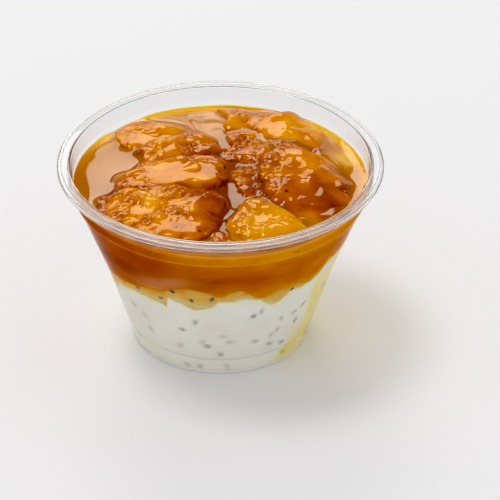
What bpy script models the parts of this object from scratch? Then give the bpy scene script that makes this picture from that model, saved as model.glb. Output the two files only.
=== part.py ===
# Mango compote over chia seed pudding in a clear thin-walled dessert cup.
# Metres, +Z up, origin at the centre of the base, the photographed front towards -Y.

import math

import bpy
import bmesh
from mathutils import Vector, noise

MM = 0.001
GAP = 0.3 * MM                 # left between touching solids
TURN_STEPS = 64                # sides of everything that is turned

# The cup, sized from its standard 95 mm lid rim
RIM_DIAMETER = 95.0 * MM
CUP_HEIGHT = 57.0 * MM
WALL = 0.6 * MM
RIM_WIDTH = 3.86 * MM          # flat ring from the mouth to the outer edge
RIM_DEPTH = 1.3 * MM           # height of the turned-down outer lip
RIM_ROUND = 0.35 * MM

BASE_RADIUS = 26.4 * MM        # corner of the base
BASE_ROUND = 1.2 * MM
STAND_RING = 3.4 * MM          # flat width the cup stands on
BASE_RECESS = 1.0 * MM         # the middle of the base is lifted this much
BASE_DOME = 0.3 * MM           # and is domed by this
SLOPE_SHIFT = 0.414            # a 45 degree step's corner moves out by this share of the wall inside it
FOOT_BAND_HEIGHT = 5.4 * MM    # near-upright band above the base
FOOT_BAND_RADIUS = 27.1 * MM
FOOT_STEP = 0.8 * MM           # small step outwards above the band
TAPER_CHANGE_HEIGHT = 26.0 * MM
TAPER_CHANGE_RADIUS = 34.0 * MM
UPPER_TAPER = 0.385            # radius gained for each unit of height
LEDGE_HEIGHT = 47.4 * MM       # stacking ledge under the rim
LEDGE_STEP = 0.6 * MM
LOW_STATIONS = (FOOT_BAND_HEIGHT, FOOT_BAND_HEIGHT + FOOT_STEP, TAPER_CHANGE_HEIGHT)   # heights where the wall bends
HIGH_STATIONS = (LEDGE_HEIGHT, LEDGE_HEIGHT + LEDGE_STEP)

# The layers, as heights above the table
PUDDING_TOP = 31.2 * MM
SWIRL_TOP = 34.2 * MM
SYRUP_LEVEL = 51.1 * MM
CENTRE_SWELL = 1.2 * MM        # each inner layer stands a little higher in the middle
LAYER_RINGS = (0.0, 0.5, 0.8, 0.93, 1.0)   # shares of the radius, closer where the edge waves

# Waves where a layer meets the wall: (compass angle in degrees, rise in mm, half width in degrees).
# -90 is the front. Negative rises are drips of mango that ran down into the pudding.
PUDDING_WAVES = (
    (-125, -2.0, 5), (-118, -4.4, 4.5), (-102, -3.2, 4), (-90, 0.8, 6), (-76, 1.1, 6), (-63, -3.5, 4.5),
    (-30, -1.6, 9), (0, 0.9, 12), (28, -2.2, 8), (75, 0.8, 14), (112, -2.4, 7), (150, 0.7, 12), (196, -1.8, 9),
)
SWIRL_WAVES = (
    (-124, -1.6, 6), (-103, 2.2, 6), (-84, 1.9, 5), (-70, -1.9, 6), (-52, -0.5, 8),
    (-18, 1.2, 12), (25, -0.9, 12), (64, 1.4, 14), (110, -0.8, 12), (160, 1.3, 14), (200, 0.6, 10),
)

# Mango pieces: plan outline in mm, height of the top in mm, how much the top climbs towards +X and +Y
# for each mm, and how far its middle swells in mm. Every piece reaches PIECE_DEPTH below the syrup.
PIECE_DEPTH = 8.0 * MM
PIECES = {
    "mango_piece_back_left": {
        "outline": ((-28, 20), (-29, 28), (-21, 31), (-11.6, 27.6), (-15.5, 22.5), (-22, 18)),
        "top": 52.0, "climb": (0.0, 0.02), "crown": 0.2},
    "mango_piece_middle_left": {
        "outline": ((-23.5, 12), (-18.5, 19), (-10, 24.5), (-4, 24), (-1, 19), (-3.5, 13.8), (-13, 11.4),
                    (-20.5, 7.8)),
        "top": 53.3, "climb": (-0.04, -0.03), "crown": 0.7},
    "mango_piece_upper_left": {
        "outline": ((-30.5, -6), (-27, 2), (-17.5, 6.6), (-9, 10.2), (-2, 10.5), (0.5, 3), (-1, -5.8), (-12, -6.8),
                    (-24, -7.2)),
        "top": 54.2, "climb": (0.01, 0.01), "crown": 0.5},
    "mango_piece_front_left": {
        "outline": ((-35, -15.5), (-29, -9), (-14, -8.4), (-2, -8.8), (-0.8, -20), (-4.4, -32), (-12, -37.5),
                    (-23, -33), (-31, -24)),
        "top": 54.1, "climb": (0.02, 0.05), "crown": 0.8},
    "mango_piece_back": {
        "outline": ((-7, 34), (-1, 38), (7.5, 38.6), (9.8, 33.6), (5.5, 30), (-1, 31)),
        "top": 51.9, "climb": (0.0, 0.02), "crown": 0.2},
    "mango_piece_centre_back": {
        "outline": ((0.8, 13), (2.2, 22), (9, 25), (15.3, 21.6), (16.2, 15.2), (12, 9.8), (4, 9.4)),
        "top": 52.3, "climb": (0.02, 0.03), "crown": 0.1},
    "mango_piece_centre": {
        "outline": ((4.6, 6.4), (11.2, 6.8), (11.8, 0), (10.2, -9), (5.8, -9), (4.2, -2)),
        "top": 52.2, "climb": (0.0, 0.0), "crown": 0.2},
    "mango_piece_right": {
        "outline": ((13, 8), (17.5, 12), (20.5, 17), (29, 11.5), (37.2, 1), (37.2, -13), (31, -21.5), (19.5, -18.5),
                    (13.4, -9)),
        "top": 53.4, "climb": (-0.08, 0.04), "crown": 0.9},
    "mango_piece_back_right": {
        "outline": ((9.6, 30), (14, 36.6), (22, 34), (28, 26), (28, 17.8), (21.4, 20.4), (13.4, 26)),
        "top": 52.9, "climb": (-0.02, 0.02), "crown": 0.4},
    "mango_piece_front": {
        "outline": ((10.6, -11.8), (18.4, -21), (23.6, -29.5), (17, -36), (7.8, -36.6), (1.8, -28), (5.8, -19)),
        "top": 54.4, "climb": (0.03, -0.02), "crown": 1.0},
    "mango_bit_front": {
        "outline": ((-2.6, -31.2), (0.4, -29.8), (3, -33.2), (3, -37.6), (-1.2, -38.2)),
        "top": 52.8, "climb": (0.0, 0.0), "crown": 0.2},
}
PIECE_RINGS = ((0.82, 0.0), (1.04, 0.8), (0.9, 1.02))   # (share of the outline, share of the height)
CORNER_PULL = 0.42             # cage corners stand out this much, so that the softened side meets the outline
PIECE_LUMPS = 0.7 * MM
LUMP_SIZE = 9.0 * MM

COLOURS = {                    # linear RGB, roughness, alpha
    "cup": ((0.86, 0.87, 0.86), 0.05, 0.3),
    "chia_pudding": ((0.62, 0.60, 0.51), 0.45, 1.0),
    "mango_swirl": ((0.55, 0.32, 0.08), 0.4, 1.0),
    "mango_syrup": ((0.45, 0.13, 0.008), 0.08, 1.0),
    "mango": ((0.68, 0.26, 0.02), 0.25, 1.0),
    "mango_piece_front": ((0.80, 0.40, 0.015), 0.25, 1.0),
}


def clear_scene():
    for old in list(bpy.data.objects):
        bpy.data.objects.remove(old, do_unlink=True)


def collection(name):
    made = bpy.data.collections.new(name)
    bpy.context.scene.collection.children.link(made)
    return made


def finish(obj, slot):
    """Gives an object its own material from COLOURS and shades it smooth."""
    colour, roughness, alpha = COLOURS[slot]
    made = bpy.data.materials.new(obj.name)
    made.use_nodes = True
    shader = made.node_tree.nodes["Principled BSDF"]
    shader.inputs["Base Color"].default_value = (*colour, 1.0)
    shader.inputs["Roughness"].default_value = roughness
    shader.inputs["Metallic"].default_value = 0.0
    shader.inputs["Alpha"].default_value = alpha
    obj.data.materials.clear()
    obj.data.materials.append(made)
    obj.data.shade_smooth()


def outer_radius(height):
    """Outside of the cup's wall at a height between the base corner and the rim."""
    rim_neck = RIM_DIAMETER / 2 - RIM_WIDTH + WALL
    ledge_low = TAPER_CHANGE_RADIUS + UPPER_TAPER * (LEDGE_HEIGHT - TAPER_CHANGE_HEIGHT)
    stations = (
        (0.0, BASE_RADIUS),
        (FOOT_BAND_HEIGHT, FOOT_BAND_RADIUS),
        (FOOT_BAND_HEIGHT + FOOT_STEP, FOOT_BAND_RADIUS + FOOT_STEP),
        (TAPER_CHANGE_HEIGHT, TAPER_CHANGE_RADIUS),
        (LEDGE_HEIGHT, ledge_low),
        (LEDGE_HEIGHT + LEDGE_STEP, ledge_low + LEDGE_STEP),
        (CUP_HEIGHT, rim_neck),
    )
    for (low, low_radius), (high, high_radius) in zip(stations, stations[1:]):
        if height <= high:
            share = (height - low) / (high - low)
            return low_radius + share * (high_radius - low_radius)
    return rim_neck


def inner_radius(height):
    return outer_radius(height) - WALL


def turned(name, outline, home):
    """Turns an outline of (radius, height) points about Z into a plain mesh object."""
    mesh = bpy.data.meshes.new(name)
    edges = [(i, i + 1) for i in range(len(outline) - 1)]
    mesh.from_pydata([(radius, 0.0, height) for radius, height in outline], edges, [])
    blank = bpy.data.objects.new(name + "_outline", mesh)
    home.objects.link(blank)
    screw = blank.modifiers.new("turn", "SCREW")
    screw.steps = screw.render_steps = TURN_STEPS
    screw.use_merge_vertices = True
    screw.merge_threshold = 0.00005
    graph = bpy.context.evaluated_depsgraph_get()
    solid = bpy.data.meshes.new_from_object(blank.evaluated_get(graph))
    bpy.data.objects.remove(blank, do_unlink=True)
    obj = bpy.data.objects.new(name, solid)
    home.objects.link(obj)
    return obj


def build_cup(home):
    rim_radius = RIM_DIAMETER / 2
    mouth = rim_radius - RIM_WIDTH
    floor = BASE_RECESS + WALL
    ring_inside = BASE_RADIUS - BASE_ROUND - STAND_RING
    step_inside = ring_inside + SLOPE_SHIFT * WALL
    lip_foot = CUP_HEIGHT - RIM_DEPTH
    flange_under = CUP_HEIGHT - WALL
    neck = outer_radius(lip_foot)
    inside = [(0.0, floor + BASE_DOME), (step_inside, floor), (step_inside + BASE_RECESS, WALL),
              (BASE_RADIUS - BASE_ROUND, WALL), (inner_radius(BASE_ROUND + WALL), BASE_ROUND + WALL)]
    inside += [(inner_radius(height), height) for height in LOW_STATIONS + HIGH_STATIONS]
    rim = [(mouth, CUP_HEIGHT - RIM_ROUND), (mouth + RIM_ROUND, CUP_HEIGHT),
           (rim_radius - 2 * RIM_ROUND, CUP_HEIGHT), (rim_radius, CUP_HEIGHT - 1.2 * RIM_ROUND),
           (rim_radius, lip_foot + RIM_ROUND), (rim_radius - RIM_ROUND, lip_foot),
           (rim_radius - WALL, lip_foot), (rim_radius - WALL, flange_under), (neck + RIM_ROUND, flange_under),
           (neck, lip_foot)]
    outside = [(outer_radius(height), height) for height in reversed(LOW_STATIONS + HIGH_STATIONS)]
    base = [(outer_radius(BASE_ROUND), BASE_ROUND), (BASE_RADIUS - 0.3 * BASE_ROUND, 0.3 * BASE_ROUND),
            (BASE_RADIUS - BASE_ROUND, 0.0), (ring_inside + BASE_RECESS, 0.0), (ring_inside, BASE_RECESS),
            (0.0, BASE_RECESS + BASE_DOME)]
    cup = turned("cup", inside + rim + outside + base, home)
    finish(cup, "cup")


def waves(table, x, y):
    """Rise of a layer's edge: bumps round the compass that fade away from the wall."""
    angle = math.degrees(math.atan2(y, x))
    rise = 0.0
    for centre, height, half_width in table:
        turn = (angle - centre + 180.0) % 360.0 - 180.0
        rise += height * MM * math.exp(-(turn / half_width) ** 2)
    return rise


def layer_surface(level, table, x, y):
    share = min(1.0, math.hypot(x, y) / inner_radius(level))
    return level + waves(table, x, y) * share ** 4 + CENTRE_SWELL * (1.0 - share ** 2)


def pudding_top(x, y):
    return layer_surface(PUDDING_TOP, PUDDING_WAVES, x, y)


def swirl_top(x, y):
    return layer_surface(SWIRL_TOP, SWIRL_WAVES, x, y)


def settle(obj, level, surface, lift=0.0):
    """Moves the ring points that were turned at one level onto a surface, keeping them in the cup.

    Two layers that meet use the same rings, surface and diagonals, so they stay a lift apart."""
    full = inner_radius(level) - GAP
    moved = bmesh.new()
    moved.from_mesh(obj.data)
    for vertex in moved.verts:
        if abs(vertex.co.z - level) > 0.01 * MM:
            continue
        height = surface(vertex.co.x, vertex.co.y)
        scale = (inner_radius(height) - GAP) / full
        vertex.co = Vector((vertex.co.x * scale, vertex.co.y * scale, height + lift))
    moved.to_mesh(obj.data)
    moved.free()


def split_quads(obj):
    """Splits the bent quads along their short diagonals."""
    split = bmesh.new()
    split.from_mesh(obj.data)
    bmesh.ops.triangulate(split, faces=split.faces, quad_method="SHORT_EDGE")
    split.to_mesh(obj.data)
    split.free()


def rings(level, shares):
    return [((inner_radius(level) - GAP) * share, level) for share in shares]


def build_pudding(home):
    floor = BASE_RECESS + WALL + GAP
    step_inside = BASE_RADIUS - BASE_ROUND - STAND_RING + SLOPE_SHIFT * (WALL + GAP)
    outline = rings(PUDDING_TOP, LAYER_RINGS)
    outline += [(inner_radius(height) - GAP, height) for height in reversed(LOW_STATIONS)]
    outline += [(inner_radius(floor + BASE_ROUND) - GAP, floor + BASE_ROUND),
                (BASE_RADIUS - BASE_ROUND - GAP, WALL + GAP), (step_inside + BASE_RECESS, WALL + GAP),
                (step_inside, floor), (0.0, floor + BASE_DOME)]
    pudding = turned("chia_pudding", outline, home)
    settle(pudding, PUDDING_TOP, pudding_top)
    split_quads(pudding)
    finish(pudding, "chia_pudding")


def build_swirl(home):
    outline = rings(SWIRL_TOP, LAYER_RINGS) + rings(PUDDING_TOP, tuple(reversed(LAYER_RINGS)))
    swirl = turned("mango_swirl", outline, home)
    settle(swirl, SWIRL_TOP, swirl_top)
    settle(swirl, PUDDING_TOP, pudding_top, lift=GAP)
    split_quads(swirl)
    finish(swirl, "mango_swirl")


def build_piece(name, plan, home):
    """A soft-edged lump: rings of its outline from bottom to top, closed at both ends, then subdivided."""
    drawn = [Vector((x * MM, y * MM)) for x, y in plan["outline"]]
    count = len(drawn)
    outline = [point + CORNER_PULL * (point - (drawn[i - 1] + drawn[(i + 1) % count]) / 2)
               for i, point in enumerate(drawn)]
    middle = sum(outline, Vector((0.0, 0.0))) / count
    bottom = SYRUP_LEVEL - PIECE_DEPTH
    seed = Vector((0.0, 0.0, 7.0 * len(name)))

    def top_height(point):
        climb_x, climb_y = plan["climb"]
        away = point - middle
        return plan["top"] * MM + climb_x * away.x + climb_y * away.y

    mesh = bpy.data.meshes.new(name)
    cage = bmesh.new()
    rings_made = []
    for share, rise in PIECE_RINGS:
        ring = []
        for corner in outline:
            point = middle + (corner - middle) * share
            height = bottom + rise * (top_height(point) - bottom)
            lump = PIECE_LUMPS * noise.noise(Vector((point.x, point.y, height)) / LUMP_SIZE + seed)
            ring.append(cage.verts.new((point.x, point.y, height + lump * rise)))
        rings_made.append(ring)
    for lower, upper in zip(rings_made, rings_made[1:]):
        for i in range(count):
            cage.faces.new((lower[i], lower[(i + 1) % count], upper[(i + 1) % count], upper[i]))
    foot = cage.verts.new((middle.x, middle.y, bottom))
    crown = cage.verts.new((middle.x, middle.y, top_height(middle) + plan["crown"] * MM))
    for i in range(count):
        cage.faces.new((foot, rings_made[0][(i + 1) % count], rings_made[0][i]))
        cage.faces.new((crown, rings_made[-1][i], rings_made[-1][(i + 1) % count]))
    bmesh.ops.recalc_face_normals(cage, faces=cage.faces)
    cage.to_mesh(mesh)
    cage.free()
    piece = bpy.data.objects.new(name, mesh)
    home.objects.link(piece)
    soften = piece.modifiers.new("soften", "SUBSURF")
    soften.levels = soften.render_levels = 1
    finish(piece, name if name in COLOURS else "mango")
    return piece


def build_syrup(home, cutters, pieces):
    """The amber layer, with a pocket for every mango piece that stands in it."""
    outline = rings(SYRUP_LEVEL, (0.0, 0.5, 1.0))
    outline += [(inner_radius(height) - GAP, height) for height in reversed(HIGH_STATIONS)]
    outline += rings(SWIRL_TOP, tuple(reversed(LAYER_RINGS)))
    syrup = turned("mango_syrup", outline, home)
    settle(syrup, SWIRL_TOP, swirl_top, lift=GAP)
    split_quads(syrup)
    for piece in pieces:
        pocket = piece.copy()
        pocket.name = "pocket_" + piece.name
        pocket.hide_render = True
        pocket.display_type = "WIRE"
        cutters.objects.link(pocket)
        grow = pocket.modifiers.new("grow", "DISPLACE")
        grow.mid_level = 0.0
        grow.strength = GAP
    cut = syrup.modifiers.new("pockets", "BOOLEAN")
    cut.operation = "DIFFERENCE"
    cut.solver = "EXACT"
    cut.operand_type = "COLLECTION"
    cut.collection = cutters
    finish(syrup, "mango_syrup")


def main():
    clear_scene()
    home = collection("mango_chia_pudding_cup")
    cutters = collection("cutters")
    build_cup(home)
    build_pudding(home)
    build_swirl(home)
    pieces = [build_piece(name, plan, home) for name, plan in PIECES.items()]
    build_syrup(home, cutters, pieces)


main()
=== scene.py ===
# Mango compote over chia pudding in a clear dessert cup: the looks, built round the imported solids.
# Sizes in this file are millimetres and become metres when a mesh is made. A turn is a compass angle
# in degrees about the cup's middle, 0 to the right and -90 to the front.
import functools
import math

import bmesh
import bpy
import numpy as np
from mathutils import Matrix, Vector, noise


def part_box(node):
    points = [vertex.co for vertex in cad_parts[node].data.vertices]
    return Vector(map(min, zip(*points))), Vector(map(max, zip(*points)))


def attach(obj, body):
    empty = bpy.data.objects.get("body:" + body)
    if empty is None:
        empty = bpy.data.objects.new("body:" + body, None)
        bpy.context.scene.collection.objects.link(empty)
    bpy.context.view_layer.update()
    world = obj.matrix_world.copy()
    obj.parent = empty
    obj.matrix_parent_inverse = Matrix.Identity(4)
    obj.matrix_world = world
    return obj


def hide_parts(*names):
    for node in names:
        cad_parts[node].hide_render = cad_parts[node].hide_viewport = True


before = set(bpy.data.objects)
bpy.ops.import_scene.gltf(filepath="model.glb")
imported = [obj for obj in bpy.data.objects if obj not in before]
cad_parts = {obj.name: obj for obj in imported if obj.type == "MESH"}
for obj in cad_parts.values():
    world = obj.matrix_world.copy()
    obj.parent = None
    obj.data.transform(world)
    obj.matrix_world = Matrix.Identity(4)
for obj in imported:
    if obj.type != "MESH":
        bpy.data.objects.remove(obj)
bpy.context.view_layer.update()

mm = 0.001
scene = bpy.context.scene
scene.view_settings.view_transform = "Standard"   # the photograph's plain contrast

# the cup's wall from base to rim: (height, outside radius), as the solids have it
wallStations = (
    (0.0, 26.4), (5.4, 27.1), (6.2, 27.9), (26.0, 34.0), (47.4, 42.24), (48.0, 42.84), (57.0, 44.24),
)
cup = {
    "wall": 0.6, "steps": 320,
    "wetFrom": 0.8, "wetTo": 52.1,      # food wets the wall between these heights
    "rimFrom": 55.6, "edge": 0.26,      # dulled above this, and a painted dark line this wide along the mouth
}
layers = {
    "steps": 512,                       # cells round each layer of food
    "reach": 0.15,                      # how far food goes into the wall, so that no air gap shows
    "dome": 1.2,                        # how much higher a layer's middle lies
    "puddingTop": 31.2, "swirlTop": 34.2, "syrupTop": 51.1,      # the solids' levels
    "sunk": 1.2,                        # fruit and syrup lie this much lower, as their line on the wall shows
}
syrupLevel = layers["syrupTop"] - layers["sunk"]
compass = np.linspace(0, 2 * math.pi, layers["steps"], endpoint=False)


def linear(hexColour):
    parts = [int(hexColour[i:i + 2], 16) / 255 for i in (1, 3, 5)]
    return [c / 12.92 if c <= 0.04045 else ((c + 0.055) / 1.055) ** 2.4 for c in parts] + [1.0]


def outerRadius(height):
    return np.interp(height, *zip(*wallStations))


def innerRadius(height):
    return outerRadius(height) - cup["wall"]


def foodRadius(height):
    return innerRadius(height) + layers["reach"]


def turnOf(x, y):
    return np.degrees(np.arctan2(y, x))


def smoothStep(value, low, high):
    share = np.clip((value - low) / (high - low), 0.0, 1.0)
    return share * share * (3.0 - 2.0 * share)


def between(value, start, full, last, end):
    # 1 from full to last, easing to 0 at start and at end
    return smoothStep(value, start, full) * (1 - smoothStep(value, last, end))


def wobble(points, size, seed):
    # smooth noise from -1 to 1 at points in mm
    offset = Vector((seed * 17.3, seed * 5.1, seed * 9.7))
    return np.array([noise.noise(Vector(p) / size + offset) for p in points])


def atSpots(spots, x, y):
    # soft round spots added up: (x, y, reach, how much) each
    return sum(much * np.exp(-((x - spotX) ** 2 + (y - spotY) ** 2) / reach ** 2)
               for spotX, spotY, reach, much in spots)


def addNode(tree, kind, given=(), output=0):
    # Adds a node and gives one of its outputs. What is given by name or number is a setting or an input:
    # another node's output is linked, anything else is set. A kind that doesn't say Node is a shader node's,
    # and a second word in it is its operation.
    kind, *operation = kind.split()
    node = tree.nodes.new(kind if "Node" in kind else "ShaderNode" + kind)
    if operation:
        node.operation = operation[0]
    for name, value in given.items() if isinstance(given, dict) else enumerate(given):
        if name == "stops":
            points = node.color_ramp.elements
            while len(points) < len(value):
                points.new(0.5)
            for point, (place, colour) in zip(points, value):
                point.position = place
                point.color = linear(colour)
        elif isinstance(value, bpy.types.NodeSocket):
            tree.links.new(value, node.inputs[name])
        elif isinstance(name, str) and hasattr(node, name):
            setattr(node, name, value)
        else:
            node.inputs[name].default_value = value
    return node.outputs[output] if len(node.outputs) else None


def emptied(tree):
    # clears a tree and gives the function that adds nodes to it
    tree.nodes.clear()
    return functools.partial(addNode, tree)


def newMaterial(name):
    made = bpy.data.materials.new(name)
    made.use_nodes = True
    return made, emptied(made.node_tree)


def coated(made, add, settings):
    # the shader that a finish ends in
    add("OutputMaterial", {"Surface": add("BsdfPrincipled", settings)})
    return made


def newTree(name, sizes):
    # a Geometry Nodes tree whose named inputs are the piece, its sizes and its finish
    tree = bpy.data.node_groups.new(name, "GeometryNodeTree")
    inputs = [("Geometry", "Geometry"), *((size, "Float") for size in sizes), ("Finish", "Material")]
    for label, kind in inputs:
        tree.interface.new_socket(label, in_out="INPUT", socket_type="NodeSocket" + kind)
    tree.interface.new_socket("Geometry", in_out="OUTPUT", socket_type="NodeSocketGeometry")
    return tree, functools.partial(addNode, tree), tree.nodes.new("NodeGroupInput").outputs


def closeTree(add, geometry, finish):
    smooth = add("GeometryNodeSetShadeSmooth", {"Geometry": geometry})
    done = add("GeometryNodeSetMaterial", {"Geometry": smooth, "Material": finish})
    add("NodeGroupOutput", {0: done})


def baked(piece, tree=None, values=()):
    # the evaluated piece as a plain mesh, its modifiers gone; a tree is put on it first, with its inputs
    if tree:
        modifier = piece.modifiers.new(tree.name, "NODES")
        modifier.node_group = tree
        for item in tree.interface.items_tree:
            if item.in_out == "INPUT" and item.name in values:
                modifier[item.identifier] = values[item.name]
    graph = bpy.context.evaluated_depsgraph_get()
    shown = piece.evaluated_get(graph)
    mesh = bpy.data.meshes.new_from_object(shown, preserve_all_data_layers=True, depsgraph=graph)
    piece.modifiers.clear()
    piece.data = mesh
    return piece


def newPiece(name, data):
    piece = bpy.data.objects.new(name, data)
    scene.collection.objects.link(piece)
    return piece


def ring(radius, height, angle=compass):
    # points on a circle, or on a wavy one where the radius or the height is a row of values
    return np.stack([radius * np.cos(angle), radius * np.sin(angle), height + 0 * angle], -1)


def rings(outline, steps):
    # an outline of (radius, height) turned about Z
    angle = np.linspace(0, 2 * math.pi, steps, endpoint=False)
    return [ring(radius, height, angle) for radius, height in outline]


def loftRings(name, rows, *finishes):
    # a closed skin through rings of points; the first and last one are poles
    rows = np.asarray(rows, float)
    count, steps = rows.shape[0], rows.shape[1]
    body = rows[1:-1].reshape(-1, 3)
    points = np.vstack([rows[0].mean(0), body, rows[-1].mean(0)]) * mm
    i, j = np.meshgrid(np.arange(count - 3), np.arange(steps), indexing="ij")
    here, there = 1 + i * steps + j, 1 + i * steps + (j + 1) % steps
    quads = np.stack([here, here + steps, there + steps, there], -1).reshape(-1, 4).tolist()
    spoke = np.arange(steps)
    onward, last = (spoke + 1) % steps, 1 + (count - 3) * steps
    caps = np.stack([np.zeros(steps, int), 1 + spoke, 1 + onward], -1).tolist()
    caps += np.stack([np.full(steps, len(points) - 1), last + onward, last + spoke], -1).tolist()
    mesh = bpy.data.meshes.new(name)
    mesh.from_pydata(points.tolist(), [], quads + caps)
    mesh.shade_smooth()
    for finish in finishes:
        mesh.materials.append(finish)
    return newPiece(name, mesh)


def rounded(corners, steps=4):
    # (radius, height, fillet) corners to a run of points, each corner eased by a small arc
    points = []
    for i, (radius, height, fillet) in enumerate(corners):
        here = Vector((radius, height))
        if not fillet:
            points.append(here)
            continue
        back = Vector(corners[i - 1][:2]) - here
        on = Vector(corners[i + 1][:2]) - here
        start = here + back.normalized() * min(fillet, 0.45 * back.length)
        end = here + on.normalized() * min(fillet, 0.45 * on.length)
        for k in range(steps + 1):
            t = k / steps
            points.append(start * (1 - t) ** 2 + here * 2 * t * (1 - t) + end * t ** 2)
    return points


def readAll(source, name, width):
    # one row for each point of a mesh
    flat = np.empty(len(source) * width, np.float32)
    source.foreach_get(name, flat)
    return flat.reshape(-1, width).astype(float)


def pointsOf(piece):
    return readAll(piece.data.vertices, "co", 3) / mm


def movePoints(piece, points):
    piece.data.vertices.foreach_set("co", (points * mm).astype(np.float32).ravel())
    piece.data.update()


def attributeOf(piece, name):
    return readAll(piece.data.attributes[name].data, "value", 1).ravel()


def giveShade(piece, values, name="shade"):
    made = piece.data.attributes.get(name) or piece.data.attributes.new(name, "FLOAT", "POINT")
    made.data.foreach_set("value", np.clip(values, 0, 1).astype(np.float32))


# Camera, light and floor

cameraView = {"turn": 180.0, "elevation": 32.45, "distance": 1.0, "aimHeight": 28.0,
              "lens": 244.2, "shift": (0.0592, -0.0094)}
studio = {
    "white": "#f9fbff", "light": 0.71, "mirrored": 0.09,    # white walls, dim where gloss mirrors them
    "floor": "#f3f2f2", "floorHalf": 3.0,
    "black": (0.012, 0.017, 0.028),                         # the photograph's deep, warm darks
}
# Softboxes: turn from straight behind towards the left, elevation, distance and size in metres, and power
# in watts. The window is what the wet tops mirror, and the key casts the shadow to the right.
softboxes = {
    "window": {"turn": 9.5, "elevation": 34.0, "distance": 2.4, "width": 1.06, "height": 1.0, "power": 9.8,
               "colour": "#fff5e4"},
    "key": {"turn": 68.0, "elevation": 70.0, "distance": 3.0, "width": 1.0, "height": 1.0, "power": 22.0,
            "colour": "#fdfeff"},
}


def standOff(name, data, view):
    # a camera or a lamp that faces the middle
    turn, rise = math.radians(view["turn"]), math.radians(view["elevation"])
    away = Vector((-math.sin(turn) * math.cos(rise), math.cos(turn) * math.cos(rise), math.sin(rise)))
    placed = newPiece(name, data)
    placed.location = Vector((0, 0, view.get("aimHeight", 0) * mm)) + away * view["distance"]
    placed.rotation_mode = "QUATERNION"
    placed.rotation_quaternion = away.to_track_quat("Z", "Y")
    return placed


def buildStudio():
    print("studio")
    camera = bpy.data.cameras.new("view")
    camera.lens = cameraView["lens"]
    camera.shift_x, camera.shift_y = cameraView["shift"]
    scene.camera = standOff("view", camera, cameraView)
    for name, box in softboxes.items():
        light = bpy.data.lights.new(name, "AREA")
        light.shape, light.size, light.size_y = "RECTANGLE", box["width"], box["height"]
        light.energy, light.color = box["power"], linear(box["colour"])[:3]
        standOff(name, light, box)

    scene.view_settings.use_curve_mapping = True
    scene.view_settings.curve_mapping.black_level = studio["black"]
    scene.world = bpy.data.worlds.new("white room")
    scene.world.use_nodes = True
    add = emptied(scene.world.node_tree)
    even = add("Background", {"Color": linear(studio["white"]), "Strength": studio["light"]})
    dim = add("Background", {"Color": (1, 1, 1, 1), "Strength": studio["mirrored"]})
    glossy = add("LightPath", (), "Is Glossy Ray")
    through = add("LightPath", (), "Is Transmission Ray")
    mirrored = add("Math SUBTRACT", {"use_clamp": True, 0: glossy, 1: through})
    add("OutputWorld", {"Surface": add("MixShader", (mirrored, even, dim))})

    # painted board: matt, with only a trace of sheen
    white = {"Base Color": linear(studio["floor"]), "Roughness": 0.8}
    board = coated(*newMaterial("matt white board"), white)
    mesh = bpy.data.meshes.new("floor")
    side = studio["floorHalf"]
    corners = [(x * side, y * side, 0) for x, y in ((-1, -1), (1, -1), (1, 1), (-1, 1))]
    mesh.from_pydata(corners, [], [(0, 1, 2, 3)])
    mesh.materials.append(board)
    newPiece("floor", mesh)


# The cup

def clearPlastic(name, bend, dull=0.0, colour="#f7f8f8"):
    # thermoformed PET sheet: clear and hard, with a crisp gloss and faint flow waves
    made, add = newMaterial(name)
    where = add("TexCoord", (), "Object")
    waves = add("TexNoise", {"Scale": 1 / (6 * mm), "Detail": 1.0, "Vector": where})
    bump = add("Bump", {"Strength": 0.25, "Distance": 0.05 * mm, "Height": waves})
    surface = add("BsdfPrincipled", {"Base Color": linear(colour), "Roughness": 0.03, "IOR": bend,
                                     "Transmission Weight": 1.0 - dull, "Normal": bump})
    straight = add("BsdfTransparent", {"Color": linear("#fbfbfb")})
    # soft light from the food and floor, and light from the lamps, goes straight through the wall
    for ray in ("Is Diffuse Ray", "Is Shadow Ray"):
        path = add("LightPath", {}, ray)
        surface = add("MixShader", (path, surface, straight))
    add("OutputMaterial", {"Surface": surface})
    return made


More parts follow.
